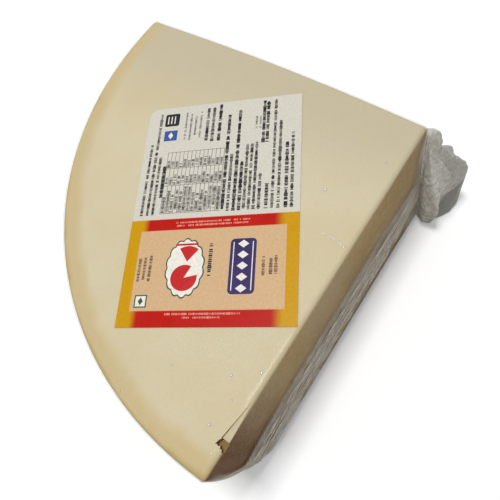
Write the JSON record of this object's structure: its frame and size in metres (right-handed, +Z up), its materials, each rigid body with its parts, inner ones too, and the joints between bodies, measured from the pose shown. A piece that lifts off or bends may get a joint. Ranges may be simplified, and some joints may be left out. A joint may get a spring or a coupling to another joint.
{
  "type": "vacuum-packed hard cheese wedge",
  "caption": "Quarter of a half-height hard cheese wheel in tight clear film, with the film gathered at its apex and a printed label on its level cut face.",
  "frame": {"origin": "middle of the underside of the bounding box, on the wheel's own flat face that the pack rests on", "axes": "+Z up, towards the level cut face with the label; -Y is the outward normal of the front cut face; +X points along that face to the apex with the gathered film"},
  "size_m": [0.2484, 0.2356, 0.1004],
  "materials": {
    "packed_cheese": "cream hard cheese seen through tight clear film",
    "film": "clear glossy plastic film, milky where it is pleated",
    "cheese": "cream hard cheese paste with a yellower rind, slightly mottled",
    "label": "white coated paper label with a satin surface",
    "print": "printed fields of red, yellow, peach and dark blue"
  },
  "bodies": {
    "root": {"sealed_bag": "packed_cheese", "label": "label"}
  },
  "joints": []
}
